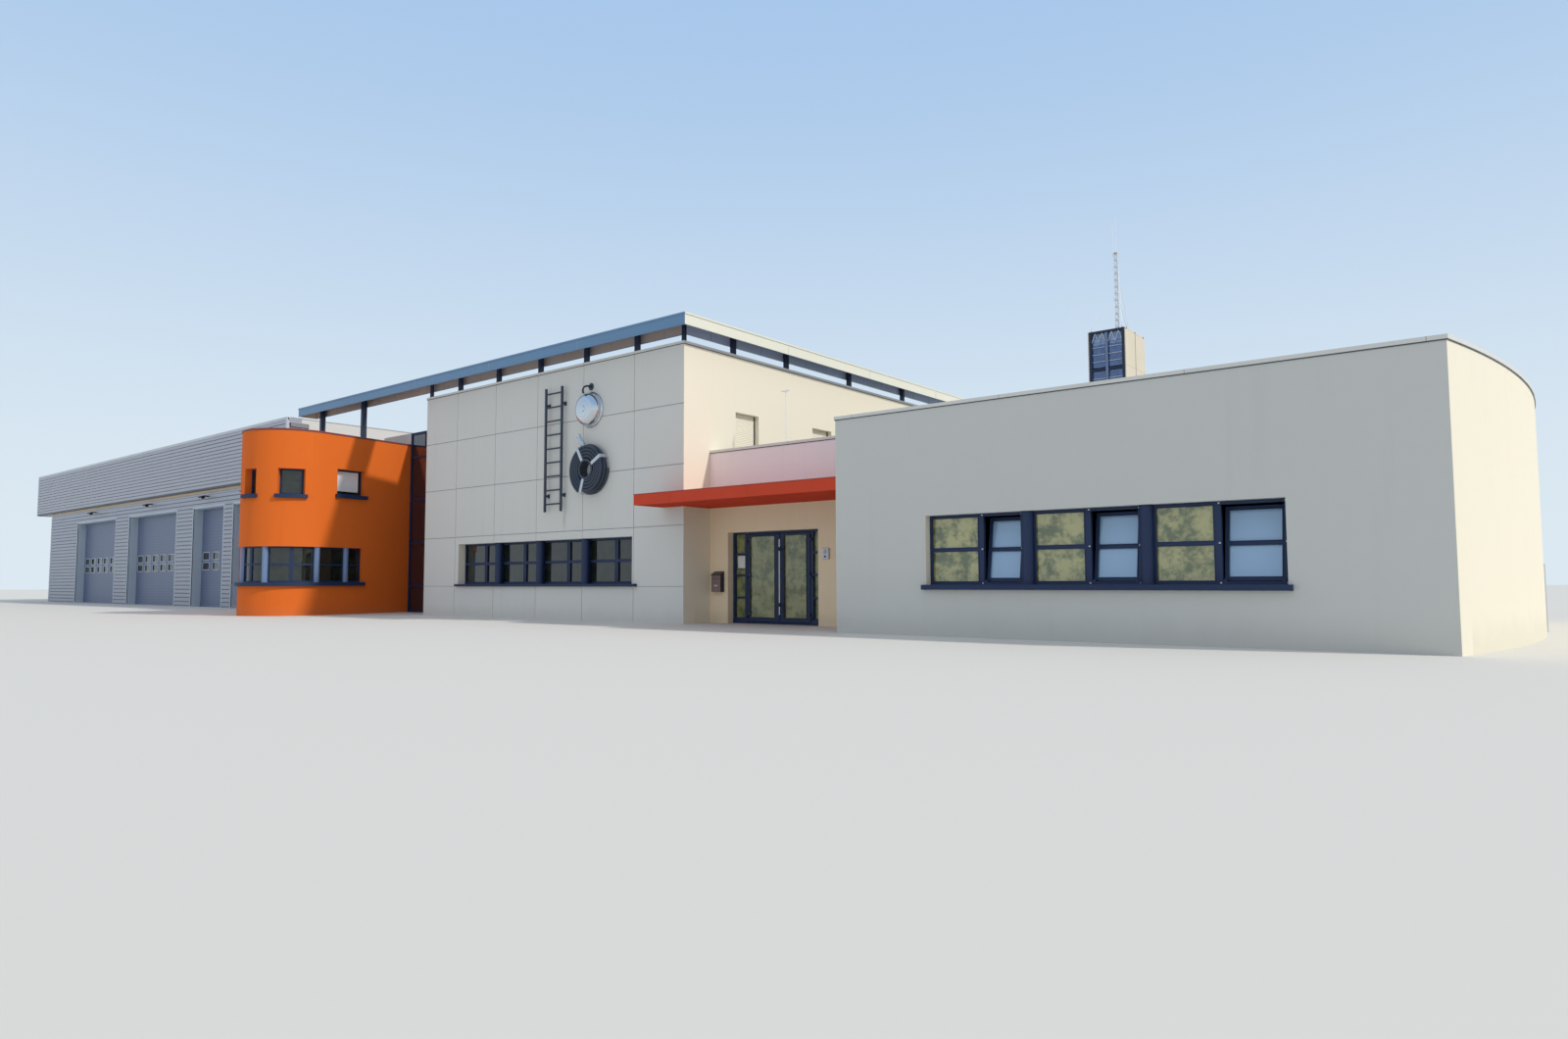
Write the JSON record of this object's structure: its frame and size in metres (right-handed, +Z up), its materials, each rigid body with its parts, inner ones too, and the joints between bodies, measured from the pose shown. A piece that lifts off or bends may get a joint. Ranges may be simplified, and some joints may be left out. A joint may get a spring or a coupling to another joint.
{
  "type": "fire station building",
  "caption": "Low fire station building with a bowed office wing, a round orange stair block, a red slatted canopy, a flying roof and a garage hall; the entrance doors open.",
  "frame": {"origin": "on the ground in the middle of the entrance doorway, under the meeting line of the two door leaves, in the outer plane of the door frame", "axes": "+Z up, street fronts face -Y, +X to the right seen from the street"},
  "size_m": [33.406, 15.9998, 8.68],
  "materials": {
    "mast_steel": "satin",
    "vermilion_steel": "satin",
    "slate_blue_frame": "satin",
    "window_glass": "clear",
    "brushed_pull": "satin",
    "fitting_metal": "satin",
    "cream_render": "matt",
    "concrete_floor": "matt",
    "ribbed_cladding": "satin",
    "beige_lining": "satin",
    "grey_door_steel": "satin",
    "pale_render": "matt",
    "roof_membrane": "matt",
    "coping_metal": "satin",
    "cream_panel": "matt",
    "orange_render": "matt",
    "sill_metal": "satin",
    "fascia_metal": "satin",
    "slate_blue_steel": "satin",
    "tower_cladding": "satin",
    "relief_metal": "satin"
  },
  "bodies": {
    "building": {"antenna_masts": "mast_steel", "canopy_frame": "vermilion_steel", "canopy_slats": "vermilion_steel", "door_frame": "slate_blue_frame", "entry_boxes": "fitting_metal", "entry_wall_left": "cream_render", "entry_wall_over": "cream_render", "entry_wall_right": "cream_render", "floor_slabs": "concrete_floor", "hall_back_walls": "ribbed_cladding", "hall_door_glass": "window_glass", "hall_door_linings": "beige_lining", "hall_doors": "grey_door_steel", "hall_fittings": "fitting_metal", "hall_front_band": "ribbed_cladding", "hall_front_wall": "ribbed_cladding", "hall_right_wall": "pale_render", "hall_roof": "roof_membrane", "link_frame": "slate_blue_frame", "link_glass": "window_glass", "link_walls": "pale_render", "low_coping": "coping_metal", "low_rear_wall": "cream_render", "mid_back_walls": "cream_panel", "mid_coping": "coping_metal", "mid_front_wall": "cream_panel", "mid_right_wall": "cream_panel", "mid_window_frames": "slate_blue_frame", "mid_window_glass": "window_glass", "orange_back_walls": "orange_render", "orange_nose_wall": "orange_render", "orange_side_wall": "orange_render", "orange_sills": "sill_metal", "orange_window_frames": "slate_blue_frame", "orange_window_glass": "window_glass", "right_end_wall": "cream_render", "right_front_wall": "cream_render", "right_left_wall": "cream_render", "right_window_frames": "slate_blue_frame", "right_window_glass": "window_glass", "roof_decks": "roof_membrane", "roof_ring": "fascia_metal", "roof_ring_posts": "slate_blue_steel", "side_window_frames": "slate_blue_frame", "side_window_glass": "window_glass", "sidelight_glass": "window_glass", "tower_frame": "slate_blue_steel", "tower_panels": "tower_cladding", "upper_floors": "concrete_floor", "wall_relief": "relief_metal", "window_sills": "sill_metal"},
    "left_leaf": {"door_leaf_left": "slate_blue_frame", "door_glass_left": "window_glass"},
    "right_leaf": {"door_leaf_right": "slate_blue_frame", "door_glass_right": "window_glass", "door_pull": "brushed_pull"}
  },
  "joints": [
    {"name": "left_door_hinge", "type": "hinge", "parent": "building", "child": "left_leaf", "pos_m": [-0.481, -0.012, 0.5], "axis": [0, 0, -1], "range_deg": [0, 90]},
    {"name": "right_door_hinge", "type": "hinge", "parent": "building", "child": "right_leaf", "pos_m": [0.431, -0.012, 0.5], "axis": [0, 0, 1], "range_deg": [0, 90]}
  ]
}
